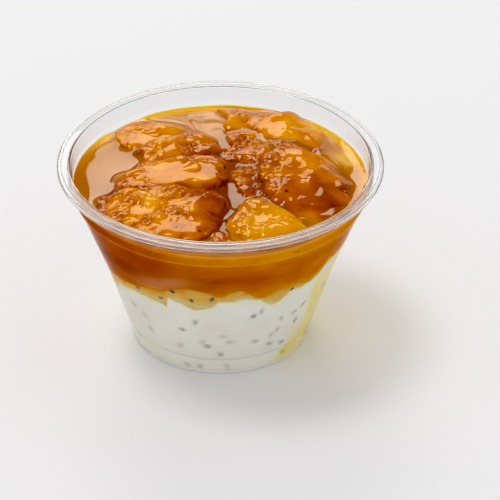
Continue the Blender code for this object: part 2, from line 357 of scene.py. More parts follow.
def buildCup():
    print("cup")
    wall = cup["wall"]
    rim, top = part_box("cup")[1].x / mm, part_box("cup")[1].z / mm
    mouth, lipFoot, under = rim - 3.86, top - 1.3, top - wall
    neck = float(outerRadius(lipFoot))
    # the wall's bends: (height, fillet)
    bends = ((5.4, 0.3), (6.2, 0.3), (26.0, 4.0), (47.4, 0.25), (48.0, 0.25), (cup["wetTo"], 0))
    # corners from the middle of the floor inside, up over the rim and down to the middle of the base
    corners = [(0, 1.9, 0), (22.05, 1.6, 0.5), (23.05, wall, 0.4), (25.6, wall, 0.9)]
    corners += [(float(innerRadius(z)), z, fillet) for z, fillet in bends]
    corners += [(mouth, top, 0.35), (mouth + 0.7, top, 0.15), (mouth + 0.95, top - 0.08, 0.1),
                (rim - 1.45, top - 0.3, 0.1), (rim - 1.25, top - 0.42, 0.08), (rim - 1.05, top, 0.1),
                (rim - 0.45, top, 0.25), (rim, top - 0.5, 0.25), (rim, lipFoot, 0.3),
                (rim - wall, lipFoot, 0.2), (rim - wall, under, 0.2),
                (neck + 0.3, under, 0.25), (neck, lipFoot, 0.2)]
    corners += [(float(outerRadius(z)), z, fillet) for z, fillet in reversed(bends)]
    corners += [(26.4, 0, 0.9), (22.8, 0, 0.4), (21.8, 1.0, 0.5), (0, 1.3, 0)]
    shell = loftRings(
        "clear_cup", rings(rounded(corners), cup["steps"]),
        clearPlastic("clear PET", 1.42),
        # where food wets the inside it hardly mirrors, so the food's colours come through full
        clearPlastic("clear PET wetted by food", 1.045),
        # scuffed and stretched at the rim: a little milky there
        clearPlastic("clear PET, dulled at the rim", 1.42, 0.08),
        # painted shade where the mouth turns over: a grey tint draws the thin dark line that its edge shows
        clearPlastic("clear PET, grey for painted edge shade", 1.42, 0.0, "#8d9496"))
    for side in shell.data.polygons:
        height, radius = side.center.z / mm, side.center.xy.length / mm
        side.material_index = 2 if height > cup["rimFrom"] else int(cup["wetFrom"] < height < cup["wetTo"])
        # painted shade: the grey finish along the mouth's edge
        if height > top - cup["edge"] and radius < mouth + cup["edge"]:
            side.material_index = 3
    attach(shell, "root")
    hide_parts("cup")


# Mango pieces: the solids' own form under fibrous flesh, with syrup lying in its hollows

flesh = {"cell": 0.28, "softening": 24, "tornSize": 6.0}
# the relief in its skin, named as the tree's inputs
relief = {
    "Warp Size": 8.0, "Warp": 1.5,
    "Fibre Width": 1.3, "Fibre Length": 2.4, "Fibre Depth": 0.55, "Film": 0.8,
    "Lump Size": 8.0, "Lump Depth": 0.9,
    "Crease Size": 6.5, "Crease Depth": 0.25, "Crease Width": 0.025,
    "Grain Size": 0.7, "Grain Depth": 0.14,
}
# Each piece: which way its fibres run, how it swells, how rough and how light it is, how many glints it has,
# how its lumps are scaled, how its top slopes to the right, and the pools of syrup that lie on it
# (x, y, half width, half depth, how much of the relief there it drowns).
plainLook = {"glints": 1.5, "lump": 1.0, "slope": 0.0, "pools": ()}
pieceLooks = {
    "mango_piece_back_left": {"turn": 70, "swell": 2.6, "rough": 0.7, "light": 0.68,
                              "pools": ((-21, 23, 8, 5, 0.6),)},
    "mango_piece_middle_left": {"turn": 80, "swell": 2.4, "rough": 1.1, "light": 0.54},
    "mango_piece_upper_left": {"turn": 95, "swell": 2.1, "rough": 1.1, "light": 0.56,
                               "pools": ((-11, -2, 10, 6.5, 0.8), (-22, -7, 4, 3, 0.5))},
    "mango_piece_front_left": {"turn": 110, "swell": 1.8, "rough": 1.2, "light": 0.53,
                               "pools": ((-11, -28.5, 6, 5, 0.7), (-23, -20, 4.5, 4, 0.5))},
    "mango_piece_back": {"turn": 100, "swell": 2.8, "rough": 1.0, "light": 0.62,
                         "pools": ((-4, 34, 5, 3, 0.5), (9, 31, 3, 3, 0.4))},
    "mango_piece_centre_back": {"turn": 60, "swell": 2.5, "rough": 1.4, "light": 0.54, "glints": 3.0,
                                "pools": ((2, 12, 3, 2, 0.6), (9, 13, 4, 2, 0.6))},
    "mango_piece_centre": {"turn": 95, "swell": 2.2, "rough": 1.3, "light": 0.5, "glints": 2.5},
    "mango_piece_right": {"turn": 100, "swell": 1.9, "rough": 0.9, "light": 0.44, "glints": 0.5, "lump": 0.4,
                          "slope": -0.12,
                          "pools": ((28, -9.5, 2, 3.5, 0.5), (30.5, -18, 3.5, 3, 0.5), (33, -4, 3, 2, 0.5))},
    "mango_piece_back_right": {"turn": 120, "swell": 3.0, "rough": 0.6, "light": 0.56, "glints": 0.8,
                               "pools": ((17, 27, 3, 6, 0.6),)},
    "mango_bit_front": {"turn": 45, "swell": 1.4, "rough": 0.6, "light": 0.66, "glints": 2.0,
                        "pools": ((2, -37, 4, 3, 0.5),)},
    "mango_piece_front": {"turn": 100, "swell": 1.5, "rough": 0.5, "light": 0.5, "glints": 0.6,
                          "pools": ((13, -27, 4, 3, 0.5), (10, -18, 2, 2, 0.5))},
}
# Pools: how ragged their shores are, how many points of the mesh there are to a small glint, its half width,
# how far a pool may tip, and how deep it drowns the relief.
pool = {"shore": 0.3, "shoreSize": 3.0, "perGlint": 900, "glintSize": (0.5, 2.1), "tip": 0.03, "depth": 2.6}
# places where the flesh is torn to fibres, and where it is smooth: (x, y, reach, how much)
tornSpots = (
    (-12, -3, 9, -0.6), (14, 5, 5, 0.9), (13, -7, 4, 0.8), (14, -14, 4, 0.4), (6, 14, 6, 0.5),
    (7, -3, 4, 0.3), (-26, -11, 6, 0.5), (-13, -15, 7, 0.4), (-19, 10, 6, 0.4), (27, -12, 9, -0.9),
    (25, 3, 8, -0.9), (22, -5, 6, -0.7), (20, -17, 5, -0.6), (20, 22, 8, -0.6), (4, 31, 6, -0.3),
    (-4, 13, 5, -0.8), (-5, -24, 6, -0.5), (12, -29, 6, -0.3), (-22, 23, 7, -0.2),
)
# level arms of syrup that reach in between the pieces: (line, half width, height above the syrup's level)
channels = (
    (((-4.5, 37), (-2.5, 33)), 3.8, 0.5), (((-2.5, 33), (-0.7, 27)), 2.5, 0.6),
    (((-0.7, 27), (1.5, 18)), 1.2, 0.8), (((3, -3), (3.6, -8)), 0.9, 0.9),
    (((4.7, -9), (4.7, -14.5)), 1.4, 0.8),
)
# the same for ends of pieces that dip under it
trims = (
    (((-9.5, 33), (-7, 30.5)), 2.6, 0.0), (((-27, 5), (-26, 11)), 2.2, 0.0),
    (((-33.5, -3), (-32.5, -9)), 1.6, 0.0),
)
fleshColours = {                        # from the deepest to the lightest shade
    "stewed mango": (
        (0.0, "#4a0e00"), (0.25, "#8a3001"), (0.5, "#b95902"), (0.75, "#df8808"), (1.0, "#f4ae28")),
    "fresh mango": ((0.0, "#8a3a00"), (0.3, "#cc7600"), (0.6, "#e49402"), (1.0, "#f8b634")),
}


def reliefTree():
    # swells a smooth lump out of true and works lumps, folds, fibres and grain into its skin
    tree, add, given = newTree("fibrous flesh", (*relief, "Swell", "Fibre Turn", "Seed"))

    def pattern(vector, size, detail, shift, output=0):
        moved = add("VectorMath ADD", (vector, (shift, -shift, shift)))
        scaled = add("VectorMath SCALE", {0: moved, "Scale": add("Math DIVIDE", (1.0, size))})
        look = {"Scale": 1.0, "Detail": detail, "Roughness": 0.55, "Vector": scaled}
        return add("TexNoise", look, output)

    def hills(vector, size, detail, shift, depth):
        centred = add("Math SUBTRACT", (pattern(vector, size, detail, shift), 0.5))
        return add("Math MULTIPLY", (centred, add("Math MULTIPLY", (depth, 2.0))))

    def along(vector, length):
        # a vector as long as a number of millimetres
        return add("VectorMath SCALE", {0: vector, "Scale": add("Math MULTIPLY", (length, mm))})

    place = add("VectorMath SCALE", {0: add("GeometryNodeInputPosition"), "Scale": 1 / mm})
    place = add("VectorMath ADD", (place, given["Seed"]))
    turned = add("VectorRotate", {"rotation_type": "Z_AXIS", "Vector": place, "Angle": given["Fibre Turn"]})
    narrow = add("Math DIVIDE", (given["Fibre Width"], given["Fibre Length"]))
    fibrous = add("VectorMath MULTIPLY", (turned, add("CombineXYZ", (narrow, 1.0, 1.0))))
    fibres = hills(fibrous, given["Fibre Width"], 2.0, 3.0, given["Fibre Depth"])
    grain = hills(place, given["Grain Size"], 2.0, 11.0, given["Grain Depth"])
    rough = add("Math ADD", (fibres, grain))
    # a film of syrup fills the lows, and torn places stay bare
    torn = add("GeometryNodeInputNamedAttribute", {"data_type": "FLOAT", "Name": "torn"})
    film = add("Math MULTIPLY", (add("Math SUBTRACT", (0.5, torn)), given["Film"]))
    rough = add("Math MAXIMUM", (rough, film))
    # folds where the flesh has split: narrow valleys along a noise's middle level
    centred = add("Math SUBTRACT", (pattern(place, given["Crease Size"], 1.5, 67.0), 0.5))
    off = add("Math DIVIDE", (centred, given["Crease Width"]))
    wider = add("Math ADD", (add("Math MULTIPLY", (off, off)), 1.0))
    valley = add("Math DIVIDE", (given["Crease Depth"], wider))
    # lumps, and calm where the flesh is whole
    lump = hills(place, given["Lump Size"], 0.4, 23.0, given["Lump Depth"])
    lump = add("Math SUBTRACT", (lump, valley))
    calm = add("Math ADD", (add("Math MULTIPLY", (torn, 0.7)), 0.3))
    height = add("Math ADD", (add("Math MULTIPLY", (lump, calm)), rough))
    normal = add("GeometryNodeInputNormal")
    sideways = add("VectorMath MULTIPLY", (normal, (1.0, 1.0, 0.25)))
    moved = add("VectorMath ADD", (along(sideways, given["Swell"]), along(normal, height)))
    drift = pattern(place, given["Warp Size"], 0.5, 41.0, 1)
    drift = add("VectorMath SUBTRACT", (drift, (0.5, 0.5, 0.5)))
    moved = add("VectorMath ADD", (moved, along(drift, add("Math MULTIPLY", (given["Warp"], 2.0)))))
    placed = add("GeometryNodeSetPosition", {"Geometry": given["Geometry"], "Offset": moved})
    crest = add("Math SUBTRACT", (rough, valley))
    kept = add("GeometryNodeStoreNamedAttribute", {"data_type": "FLOAT", "domain": "POINT", "Name": "crest",
                                                   "Geometry": placed, "Value": crest})
    closeTree(add, kept, given["Finish"])
    return tree


def dressPiece(node, look, tree, finish):
    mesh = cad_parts[node].data.copy()
    mesh.materials.clear()
    weld = bmesh.new()
    weld.from_mesh(mesh)
    bmesh.ops.remove_doubles(weld, verts=weld.verts, dist=0.001 * mm)
    weld.to_mesh(mesh)
    weld.free()
    piece = newPiece(node.replace("mango_", "glazed_"), mesh)
    even = piece.modifiers.new("even cells", "REMESH")
    even.mode, even.voxel_size = "VOXEL", flesh["cell"] * mm
    soft = piece.modifiers.new("soften", "SMOOTH")
    soft.factor, soft.iterations = 0.5, flesh["softening"]
    points = pointsOf(baked(piece))
    torn = wobble(points, flesh["tornSize"], 2 + len(node)) + atSpots(tornSpots, *points.T[:2])
    giveShade(piece, smoothStep(torn, -0.35, 0.3), "torn")
    baked(piece, tree, {
        **relief, "Swell": look["swell"], "Fibre Turn": math.radians(look["turn"]),
        "Fibre Depth": relief["Fibre Depth"] * look["rough"],
        "Grain Depth": relief["Grain Depth"] * look["rough"],
        "Lump Depth": relief["Lump Depth"] * look["lump"], "Seed": 13.0 * len(node), "Finish": finish})
    movePoints(piece, pointsOf(piece) - (0, 0, layers["sunk"]))
    leanPiece(piece, look["slope"])
    layPools(piece, look["pools"], len(node), look["glints"])
    fitPiece(piece)
    return piece


def leanPiece(piece, slope):
    # tips what stands out of the syrup to one side, about its own middle
    points = pointsOf(piece)
    x, y, z = points.T
    out = smoothStep(z, syrupLevel - 1, syrupLevel + 2)
    points[:, 2] += out * (slope * (x - np.average(x, weights=out)))
    movePoints(piece, points)


def layPools(piece, pools, seed, glints):
    # level pools of syrup on a piece, their shores drawn by the relief that stands out of them
    rng = np.random.default_rng(seed)
    points = pointsOf(piece)
    x, y, z = points.T
    shore = pool["shore"] * wobble(points * (1, 1, 0), pool["shoreSize"], 7)
    high = np.flatnonzero(z > syrupLevel + 0.6)
    torn = attributeOf(piece, "torn")[high]
    small = []
    for place in rng.choice(high, int(glints * len(high) / pool["perGlint"]), p=torn / torn.sum()):
        size = rng.uniform(*pool["glintSize"])
        small.append((x[place], y[place], size, size * rng.uniform(0.5, 1.0), rng.uniform(0.4, 0.65)))
    for poolX, poolY, halfX, halfY, share in list(pools) + small:
        off = np.hypot((x - poolX) / halfX, (y - poolY) / halfY) + shore
        inside = (off < 0.8) & (z > syrupLevel)
        if inside.sum() < 6:
            continue
        inside &= z > z[inside].max() - 2.0
        level = np.quantile(z[inside], share) - 1.5 * np.clip(off - 0.75, 0, None) ** 2
        tipX, tipY = rng.uniform(-pool["tip"], pool["tip"]), rng.uniform(-pool["tip"], pool["tip"])
        level += tipX * (x - poolX) + tipY * (y - poolY)
        drowned = smoothStep(z, level - pool["depth"], level - pool["depth"] / 2) * (z < level) * (off < 1.6)
        z = z + drowned * (level - z)
    points[:, 2] = z
    movePoints(piece, points)


def fitPiece(piece):
    # keeps a piece half a millimetre inside the wall, and lower where an arm of syrup crosses it
    points = pointsOf(piece)
    radius = np.hypot(points[:, 0], points[:, 1])
    points[:, :2] *= np.minimum(1, (innerRadius(points[:, 2]) - 0.5) / np.maximum(radius, 1e-6))[:, None]
    x, y, z = points.T
    shore = 0.9 * wobble(points * (1, 1, 0), 3.5, 31) + 0.4 * wobble(points * (1, 1, 0), 1.3, 32)
    for line, half, height in channels + trims:
        away = awayFrom(x, y, line) + shore
        points[:, 2] = z = np.minimum(z, syrupLevel + height - 0.6 + 2.2 * np.clip(away - half, 0, None))
    movePoints(piece, points)


def mottled(add, shade, where, size, detail, amount, distortion=0.0):
    # a shade with cloudy patches of that size worked into it
    look = {"Scale": 1 / (size * mm), "Detail": detail, "Distortion": distortion, "Vector": where}
    cloud = add("TexNoise", look)
    lowered = add("Math SUBTRACT", (shade, amount / 2))
    return add("Math MULTIPLY_ADD", (cloud, amount, lowered))


def wetFlesh(name, scatter):
    # cooked fruit under syrup: deep colour where it is thick or low and where shade is painted into it, wet
    # gloss over it
    made, add = newMaterial(name)
    shade = add("Attribute", {"attribute_name": "shade"}, "Fac")
    torn = add("Attribute", {"attribute_name": "torn"}, "Fac")
    where = add("TexCoord", (), "Object")
    varied = mottled(add, shade, where, 1.6, 3.0, 0.22)
    colour = add("ValToRGB", {"stops": fleshColours[name], "Fac": varied})
    # the film over light flesh mirrors warm
    tint = add("ValToRGB", {"stops": ((0.35, "#fff0ea"), (0.6, "#ffdca8")), "Fac": shade})
    # the finest fibres, only where the flesh is torn
    fine = add("TexNoise", {"Scale": 1 / (0.8 * mm), "Detail": 0.5, "Vector": where})
    strength = add("Math MULTIPLY_ADD", (torn, 0.9, 0.03))
    bump = add("Bump", {"Distance": 0.07 * mm, "Height": fine, "Strength": strength})
    return coated(made, add, {
        "Base Color": colour, "Normal": bump, "Roughness": 0.03, "IOR": 1.45,
        "Specular IOR Level": 0.8, "Specular Tint": tint,
        "Subsurface Weight": scatter, "Subsurface Radius": (1.0, 0.4, 0.12), "Subsurface Scale": 1.5 * mm})


# The field of heights: what the food's top looks like from above, on a square grid

field = {"half": 46.0, "cell": 0.4}
fieldCount = int(2 * field["half"] / field["cell"]) + 1
fieldAxis = np.linspace(-field["half"], field["half"], fieldCount)
fieldX, fieldY = np.meshgrid(fieldAxis, fieldAxis, indexing="ij")
fieldRadius = np.hypot(fieldX, fieldY)


def inCells(at):
    return (np.asarray(at) + field["half"]) / field["cell"]


def cellsOf(x, y):
    return np.round(inCells(x)).astype(int), np.round(inCells(y)).astype(int)


def fieldOf(values, x, y):
    # a value between the grid's points
    u, v = (np.clip(inCells(at), 0, fieldCount - 1.001) for at in (x, y))
    i, j = u.astype(int), v.astype(int)
    du, dv = u - i, v - j
    return ((values[i, j] * (1 - du) + values[i + 1, j] * du) * (1 - dv)
            + (values[i, j + 1] * (1 - du) + values[i + 1, j + 1] * du) * dv)


def blurred(values, width):
    # three passes of a box, close to a bell of that width
    cells = max(1, int(width / field["cell"] / 2))
    kernel = np.ones(2 * cells + 1) / (2 * cells + 1)
    for axis in (0, 1) * 3:
        values = np.apply_along_axis(np.convolve, axis, values, kernel, "same")
    return values


def grown(values, pick=np.maximum):
    # each grid point takes the greatest (or least) of itself and its neighbours
    for axis in (0, 1):
        values = pick(values, pick(np.roll(values, 1, axis), np.roll(values, -1, axis)))
    return values


def awayFrom(x, y, line):
    # distance in plan from a run of straight pieces
    best = np.full(np.shape(x), 1e9)
    for (x0, y0), (x1, y1) in zip(line, line[1:]):
        runX, runY = x1 - x0, y1 - y0
        share = np.clip(((x - x0) * runX + (y - y0) * runY) / (runX ** 2 + runY ** 2), 0, 1)
        best = np.minimum(best, np.hypot(x - x0 - share * runX, y - y0 - share * runY))
    return best


def heightsFrom(pieces):
    # tallest flesh over each grid point, 0 where there is none
    tops = np.zeros_like(fieldX)
    for piece in pieces:
        x, y, z = pointsOf(piece).T
        np.maximum.at(tops, cellsOf(x, y), z)
    return grown(grown(tops), np.minimum)      # closes the gaps between a piece's points


# The syrup

# its climb at the pieces, how soon its skin levels out from there, and its ripples
syrup = {"pieceRise": 1.2, "capillary": 2.4, "solveTurns": 240, "ripple": 0.03, "rippleSize": 7.0}
# places where it lies thick between the pieces: (x, y, reach, height)
fills = (
    (32, -17, 6, 1.3), (22, -22, 5, 1.2), (-24, -7, 4, 1.8), (-17, -6, 4, 2.2), (-9, -5, 4, 2.0),
    (11, 26, 8, 1.8), (23, 19, 8, 1.7), (33, 8, 6, 0.9), (-13, 22, 5, 1.4), (17, 16, 5, 2.2),
    (13.5, -4, 3.5, 2.1), (14, -11, 3, 1.6), (14.5, 4, 4, 2.2),
)
# how high it stands against the wall: (turn, height over its level)
wallClimb = (
    (-180, 0.4), (-150, 1.5), (-120, 2.4), (-60, 2.4), (-30, 1.5), (0, 1.0), (60, 1.1), (115, 1.0),
    (145, 0.2),
)
# a bank of skin along the left wall: from this line outward the syrup's top climbs to the wall
bank = {"line": ((-36.0, -30.0), (-37.5, -17.0), (-37.0, -2.0), (-35.2, 8.0), (-32.2, 16.0), (-28.8, 22.0),
                 (-25.5, 27.0)), "slope": 0.1, "limit": 1.0}
# on the right it slopes from the fruit down to a narrow level strip, and up again at the wall
mound = {"foot": 36.4, "slope": 0.15, "width": 10.0, "wallFrom": 40.4, "wallSlope": 0.13}
# painted light that its edge takes from behind: (turn, how much, and the cosines where it starts and is full)
paintedBacklights = ((112, 0.5, 0.45, 0.95), (0, 0.2, 0.75, 0.98), (46, 0.4, 0.88, 0.99))
# its shade through the wall: (height, shade), with a thin painted highlight at the ledge and painted light
# along its top
sideShades = ((30.0, 0.6), (34.0, 0.5), (36.5, 0.36), (41.0, 0.3), (45.5, 0.36), (47.2, 0.42), (47.4, 0.9),
              (47.6, 0.62), (48.2, 0.54), (50.3, 0.56), (50.7, 0.9), (51.5, 0.95))
# painted shade at the far left, darker still in one place there, and painted light on the right: (turns
# between which it is full, with its ends, heights from nothing to full, how much)
sidePatches = (
    ((-180, -152, -122, -106), (33, 38), -0.16), ((-180, -158, -136, -122), (42, 36), -0.27),
    ((-85, -55, 0, 60), (0, 1), 0.14),
)
# tints and specks on the top, with painted shade in crevices and painted light under mirrored syrup: (x, y,
# reach, how much)
tintsAndPaintedLight = (
    (-22, -20, 8, 0.16), (-20, 10, 6, 0.1), (-3, 13, 6, -0.22), (-2, -2, 5, -0.12), (-2, -14, 6, -0.3),
    (0, -26, 6, -0.3), (-32, -6, 5, -0.15), (27, -14, 9, -0.2), (24, 4, 8, 0.1), (12, 0, 5, 0.05),
    (18, 24, 7, 0.12), (12, -28, 6, 0.1), (5, 33, 6, 0.05), (-24, 26, 5, 0.05), (24, -26, 6, 0.15),
    (8, -18, 4, -0.1), (-41, 0, 9, -0.05), (-36, 19, 7, -0.06), (-2, 32, 5, 0.08), (29, 30, 5, 0.45),
    (36, 12, 5, 0.35), (-33, 22, 4, 0.1), (26, -21.5, 4, 0.28), (4.5, -11, 3, -0.2), (-6, -7, 4, 0.25),
    (12, -4, 4, -0.1), (19, -11, 0.4, -1), (-6, -32, 0.35, -1),
)
syrupColours = {                        # from the deepest to the lightest shade
    "top": ((0.0, "#5a1800"), (0.25, "#8f3b06"), (0.5, "#b3650e"), (0.75, "#d48a12"), (1.0, "#f2bc1c")),
    "side": ((0.0, "#8e3204"), (0.25, "#a9490a"), (0.5, "#cc7010"), (0.75, "#e4921c"), (1.0, "#f3b040")),
}


def syrupRise(tops):
    # How far the syrup stands over its level. It is held at the wall and at the pieces that it wets, and
    # levels out between them. Where pieces crowd it climbs higher and fills the gaps.
    near = tops
    for again in range(8):
        near = grown(near)
    crowded = smoothStep(blurred((tops > syrupLevel + 0.4).astype(float), 9.0), 0.45, 0.85)
    lift = np.minimum(syrup["pieceRise"] * (1 + crowded), 0.6 * np.clip(near - syrupLevel, 0, None))
    onFlesh = tops - syrupLevel > np.maximum(lift, 0.3)
    beyond = fieldRadius > innerRadius(syrupLevel + 0.5)
    turn = turnOf(fieldX, fieldY)
    flat = np.stack([fieldX, fieldY, 0 * fieldX], -1).reshape(-1, 3)
    climb = np.interp(turn, *zip(*wallClimb), period=360) + 0.14 * wobble(flat, 9.0, 6).reshape(turn.shape)
    rise = np.where(beyond, climb, np.where(onFlesh, lift - 0.25, 0.0))
    held = onFlesh | beyond
    sag = 1.0 + (field["cell"] / syrup["capillary"]) ** 2 / 4
    for again in range(syrup["solveTurns"]):
        mean = sum(np.roll(rise, step, axis) for step in (1, -1) for axis in (0, 1)) / 4
        rise = np.where(held, rise, mean / sag)
    rise = np.maximum(rise, atSpots(fills, fieldX, fieldY))
    for line, half, height in channels:
        inside = 1 - smoothStep(awayFrom(fieldX, fieldY, line), half, half + 2.0)
        inside = inside * (1 - smoothStep(fieldRadius, 38.0, 41.0))
        rise = np.where(onFlesh, rise, rise + inside * (height - rise))
    line = bank["line"]
    edge = np.interp(fieldY, [y for x, y in line], [x for x, y in line])
    outward = np.where((fieldX < edge) & (fieldY < line[-1][1]), awayFrom(fieldX, fieldY, line), 0.0)
    banks = np.minimum(bank["slope"] * outward, bank["limit"])
    strip = np.clip(fieldRadius - mound["wallFrom"] - 0.08 * np.clip(turn, 0, None), 0, 2)
    banks += mound["wallSlope"] * strip * smoothStep(fieldX, 15, 25)
    foot = mound["foot"] + 0.1 * np.clip(turn, 0, 25)
    slope = mound["slope"] * np.clip(foot - fieldRadius, 0, mound["width"]) * smoothStep(fieldX, 8, 22)
    covered = smoothStep(blurred((tops > syrupLevel).astype(float), 2.5), 0.5, 0.9)
    return rise + (banks + slope) * (1 - covered)


def shadePieces(pieces, tops):
    # shades the flesh, with painted shade in crevices, pits and steep flanks, and gives its shade spread over
    # the gaps for the syrup that fills them
    crowd = blurred(np.maximum(tops, syrupLevel), 8.0)
    total, count = np.zeros_like(fieldX), np.zeros_like(fieldX)
    for node, piece in pieces.items():
        points = pointsOf(piece)
        x, y, z = points.T
        up = readAll(piece.data.vertex_normals, "vector", 3)[:, 2]
        shade = pieceLooks[node]["light"] + 0.04 * np.clip(z - syrupLevel - 1.5, -4, 2)
        shade += 0.2 * wobble(points, 5.0, len(node))
        # painted shade in the pits and folds of the torn relief, a little lighter on crests and under the
        # smooth film
        shade += 0.45 * np.clip(attributeOf(piece, "crest"), -0.5, 0.12)
        shade -= 0.08 * np.clip(fieldOf(crowd, x, y) - z, 0, 3)       # painted shade: darker among taller neighbours
        # painted shade on steep flanks, where the syrup also lies thicker
        shade -= 0.18 * (1 - smoothStep(up, 0.0, 0.85))
        # the fruit's tints, with their painted light and shade
        shade += atSpots(tintsAndPaintedLight, x, y)
        giveShade(piece, shade)
        seen = z > syrupLevel
        cells = cellsOf(x[seen], y[seen])
        np.add.at(total, cells, np.clip(shade[seen], 0, 1))
        np.add.at(count, cells, 1)
    return blurred(total, 3.0) / np.maximum(blurred(count, 3.0), 1e-6)


def syrupFinish():
    # thick mango syrup: clouded amber, yellow where thin and red-brown where deep, with painted light and
    # shade, and a mirror-wet skin
    made, add = newMaterial("boiled mango syrup")
    where = add("TexCoord", (), "Object")
    names = ("shade", "side", "haze")
    shade, side, haze = (add("Attribute", {"attribute_name": name}, "Fac") for name in names)
    varied = mottled(add, shade, where, 4.0, 4.0, 0.12)
    top, wall = (add("ValToRGB", {"stops": syrupColours[face], "Fac": varied}) for face in ("top", "side"))
    colour = add("Mix", {"data_type": "RGBA", 0: side, 6: top, 7: wall}, 2)
    # a pale veil: a painted reflection on the wall at the front left, and the pale film where its edge climbs
    # the wall
    veil = add("Math MULTIPLY", (haze, 0.7))
    colour = add("Mix", {"data_type": "RGBA", 0: veil, 6: colour, 7: linear("#cf8660")}, 2)
    gloss = add("Math MULTIPLY_ADD", (side, -0.8, 0.8))   # none against the wall
    return coated(made, add, {
        "Base Color": colour, "Roughness": 0.05, "IOR": 1.45, "Specular IOR Level": gloss,
        "Subsurface Weight": 0.5, "Subsurface Radius": (1.0, 0.4, 0.1), "Subsurface Scale": 2.5 * mm})


def layerFace(edge, level, drop=0.0):
    # rings of a layer's face from its middle out: a low dome over its level, then the wavy edge
    rows = []
    for share in (0.0, 0.5, 0.8, 0.93):
        dome = layers["dome"] * (1 - share ** 2)
        rows.append(ring(foodRadius(edge) * share, level + (edge - level) * share ** 4 + dome - drop))
    return rows


def syrupRings(edge, rise, foot):
    # over the top from the middle out, down the wall, and back along the swirl's top
    rows = []
    for share in (*np.linspace(0, 0.9, 84), *np.linspace(0.905, 1.0, 20)):
        row = ring(edge * share, 0.0)
        x, y = row[:, 0], row[:, 1]
        z = syrupLevel + fieldOf(rise, x, y)
        z += syrup["ripple"] * wobble(row, syrup["rippleSize"], 1) * (share < 0.97)
        # fruit fibres lie in the thick places, less on the right
        pulp = smoothStep(atSpots(fills, x, y), 0.3, 1.2) * (1 - smoothStep(np.hypot(x, y), 37, 40))
        pulp *= 1 - 0.8 * smoothStep(x, 14, 20)
        z += pulp * (0.25 * wobble(row, 2.6, 2) + 0.2 * wobble(row, 1.3, 3))
        row[:, 2] = z
        rows.append(row)
    brim, swirlTop = rows[-1][:, 2], layers["swirlTop"]
    ledge = (47.6, 47.4, 47.2)      # rings close together, for the thin painted highlight that is drawn there
    for level in sorted((*np.linspace(51.6, swirlTop, 30), *ledge), reverse=True):
        z = level + (foot - swirlTop) * smoothStep(-level, -44.0, -swirlTop)
        z = np.minimum(z, brim - 0.05 * (53.0 - level))
        rows.append(ring(foodRadius(z), z))
    return rows + layerFace(foot, swirlTop)[::-1], brim


def shadeSyrup(piece, tops, fruitShade, swirlEdge, edge, brim):
    # its shades on top and through the wall with painted light and shade in them, which of the two a point
    # has, and the pale veil of painted reflection and film
    points = pointsOf(piece)
    x, y, z = points.T
    turn, degrees = turnOf(x, y), np.degrees(compass)
    gap = np.interp(turn, degrees, edge, period=360) - np.hypot(x, y)
    brim = np.interp(turn, degrees, brim, period=360)
    backlight = 0.04
    for at, much, low, high in paintedBacklights:
        backlight = backlight + much * smoothStep(np.cos(np.radians(turn - at)), low, high)
    # painted light along the wall where light comes through from behind, and the tints with their painted
    # light and shade
    top = 0.58 + backlight * np.exp(-(gap / 2.6) ** 2) + atSpots(tintsAndPaintedLight, x, y)
    # near fruit it takes the fruit's shade
    crowd = fieldOf(blurred((tops > syrupLevel + 0.2).astype(float), 6.0), x, y)
    top += (fieldOf(fruitShade, x, y) - 0.03 - top) * (0.8 * smoothStep(crowd, 0.15, 0.6))
    side = np.interp(z, *zip(*sideShades))
    # less of the painted light above the ledge away from the front
    side -= 0.12 * smoothStep(np.abs(turn + 82), 18, 40) * smoothStep(z, 47.2, 47.6)
    side += 0.12 * wobble(points * (1, 1, 2.2), 9.0, 4) + 0.08 * wobble(points * (1, 1, 3.0), 3.0, 5)
    side += 0.12 * np.exp(-((turn + 78) / 22) ** 2) * smoothStep(z, 40, 46)      # lighter in the middle
    for turns, heights, much in sidePatches:
        side += much * between(turn, *turns) * smoothStep(z, *heights)
    # thin where it meets the milk
    foot = z - swirlEdge(turn)
    side += 0.16 * np.exp(-np.clip(foot, 0, None) / (1.1 + 0.7 * wobble(points, 3.0, 12)))
    onSide = (gap < 0.5) & (z < np.minimum(51.3, brim - 0.15)) | (z < syrupLevel - 1)
    giveShade(piece, np.where(onSide, side, top))
    giveShade(piece, onSide.astype(float), "side")
    # painted reflection on the wall at the front left, and the pale film where its top edge climbs the wall
    haze = np.exp(-((turn + 117) / 17) ** 2 - ((foot - 3.0) / 3.2) ** 2)
    haze += 0.6 * smoothStep(z, 50.2, 50.8) * np.exp(-((turn + 84) / 24) ** 2)
    giveShade(piece, haze * onSide * (0.9 + 0.3 * wobble(points, 3.0, 15)), "haze")


def buildSyrup(tops, rise, swirlEdge, fruitShade):
    print("syrup")
    justInside = 43.0
    edge = foodRadius(syrupLevel + fieldOf(rise, justInside * np.cos(compass), justInside * np.sin(compass)))
    rows, brim = syrupRings(edge, rise, swirlEdge(np.degrees(compass)))
    piece = loftRings("amber_syrup", rows, syrupFinish())
    shadeSyrup(piece, tops, fruitShade, swirlEdge, edge, brim)
    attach(piece, "root")
    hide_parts("mango_syrup")


# Swirl, pudding and seeds

# where the amber ends and where the white begins at the front: (turn, height)
amberFoot = (
    (-168, 26.0), (-158, 27.0), (-148, 28.7), (-135, 30.8), (-124, 32.2), (-103, 36.2), (-96, 35.6),
    (-90, 33.8), (-82, 36.0), (-70, 31.8), (-60, 34.0), (-52, 33.0), (-44, 32.4), (-39, 34.5),
    (-35, 37.6), (-24, 38.2),
)
whiteTop = (
    (-168, 22.0), (-157, 22.4), (-149, 26.0), (-134, 27.9), (-128, 28.0), (-120, 27.5), (-117.6, 26.6),
    (-115, 31.0), (-112, 30.0), (-102, 27.6), (-95, 29.0), (-90, 31.6), (-76, 32.3), (-63, 27.9),
    (-54, 31.4), (-44, 31.4), (-39, 33.0), (-35, 36.0), (-24, 36.6),
)
# where the yellow film that ran down inside the wall begins: (height, turn)
filmEdge = ((0, -62), (5, -53), (9, -45), (26, -43), (32, -40), (36, -37))
